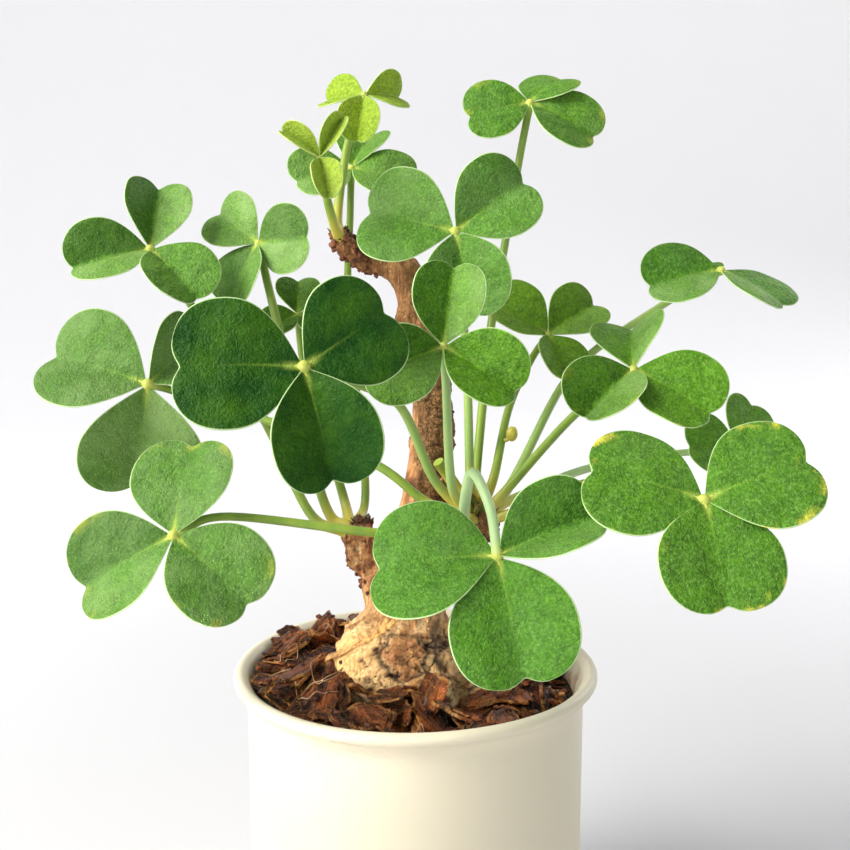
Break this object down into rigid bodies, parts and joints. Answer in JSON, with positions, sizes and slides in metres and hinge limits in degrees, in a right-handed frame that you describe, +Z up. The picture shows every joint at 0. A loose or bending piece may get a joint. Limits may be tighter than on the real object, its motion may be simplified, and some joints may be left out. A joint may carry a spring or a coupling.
{
  "type": "potted oxalis megalorrhiza",
  "caption": "Potted fleshy wood sorrel: a pale ceramic pot with soil and bark mulch, a swollen forked woody stem, and leaves of three notched leaflets on slim stalks.",
  "frame": {"origin": "centre of the pot's underside, on the surface that it stands on", "axes": "+Z up, -Y to the front of the plant, +X to its right"},
  "size_m": [0.1345, 0.0858, 0.1672],
  "materials": {
    "ceramic": "matte cream-white",
    "soil": "dark and loose",
    "pine_bark": "rough red-brown flakes",
    "stem_bark": "papery tan bark",
    "leaf": "satin and finely papillose",
    "young_leaf": "satin yellow-green",
    "stalk": "satin light green"
  },
  "bodies": {
    "root": {"pot": "ceramic", "soil": "soil", "bark_mulch": "pine_bark", "trunk": "stem_bark", "leaf_01_blade": "young_leaf", "leaf_01_stalk": "stalk", "leaf_02_blade": "young_leaf", "leaf_02_stalk": "stalk", "leaf_03_blade": "leaf", "leaf_03_stalk": "stalk", "leaf_04_blade": "leaf", "leaf_04_stalk": "stalk", "leaf_05_blade": "leaf", "leaf_05_stalk": "stalk", "leaf_06_blade": "leaf", "leaf_06_stalk": "stalk", "leaf_07_blade": "leaf", "leaf_07_stalk": "stalk", "leaf_08_blade": "leaf", "leaf_08_stalk": "stalk", "leaf_09_blade": "leaf", "leaf_09_stalk": "stalk", "leaf_10_blade": "leaf", "leaf_10_stalk": "stalk", "leaf_11_blade": "leaf", "leaf_11_stalk": "stalk", "leaf_12_blade": "leaf", "leaf_12_stalk": "stalk", "leaf_13_blade": "leaf", "leaf_13_stalk": "stalk", "leaf_14_blade": "leaf", "leaf_14_stalk": "stalk", "leaf_15_blade": "leaf", "leaf_15_stalk": "stalk", "leaf_16_blade": "leaf", "leaf_16_stalk": "stalk", "leaf_17_blade": "leaf", "leaf_17_stalk": "stalk", "leaf_18_blade": "leaf", "leaf_18_stalk": "stalk", "cut_stalk": "stalk"}
  },
  "joints": []
}
